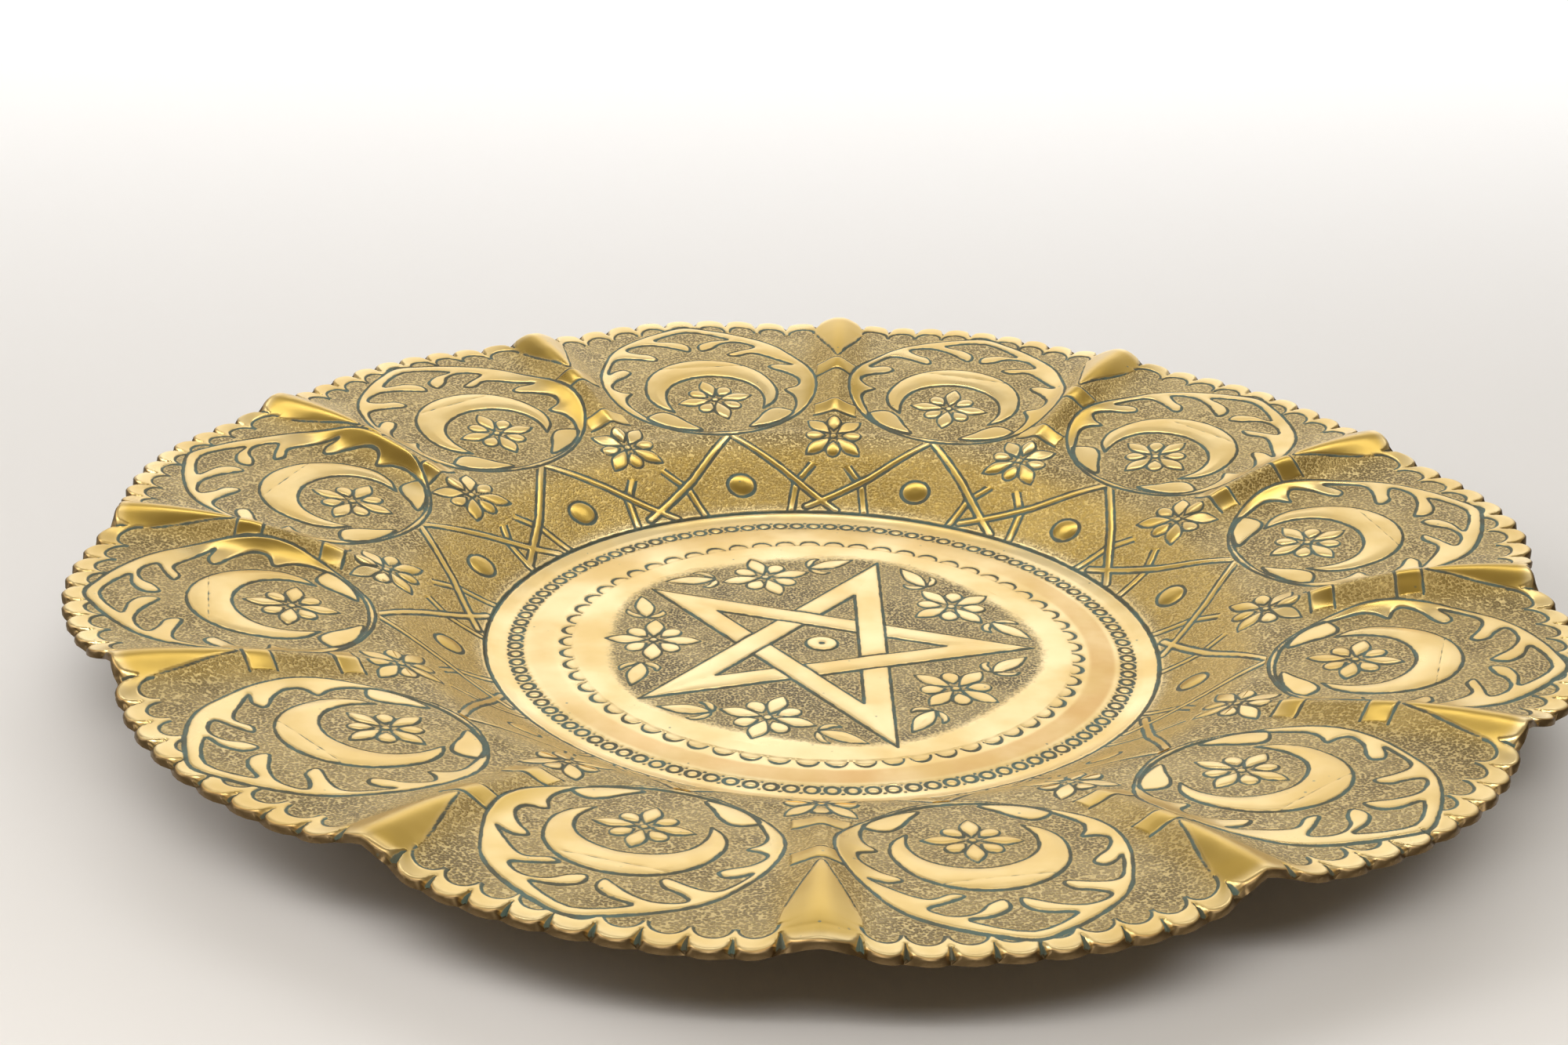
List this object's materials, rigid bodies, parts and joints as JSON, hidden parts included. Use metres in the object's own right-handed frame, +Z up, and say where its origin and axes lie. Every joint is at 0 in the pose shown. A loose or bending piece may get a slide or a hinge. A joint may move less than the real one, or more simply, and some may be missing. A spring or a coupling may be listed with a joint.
{
  "type": "brass tray",
  "caption": "Round raised brass tray: flat floor, sloping wall, border of twelve dished lobes between ridges, filed scalloped edge, chased ornament.",
  "frame": {"origin": "centre of the flat underside of the floor, on the surface that the tray stands on", "axes": "+Z up, out of the well; +Y towards the side that is furthest away when the tray is viewed from the front, +X to the right"},
  "size_m": [0.3372, 0.3392, 0.029],
  "materials": {
    "brass": "hand-polished yellow brass, grey-green patina in the chased lines and matted ground"
  },
  "bodies": {
    "root": {"tray_sheet": "brass"}
  },
  "joints": []
}
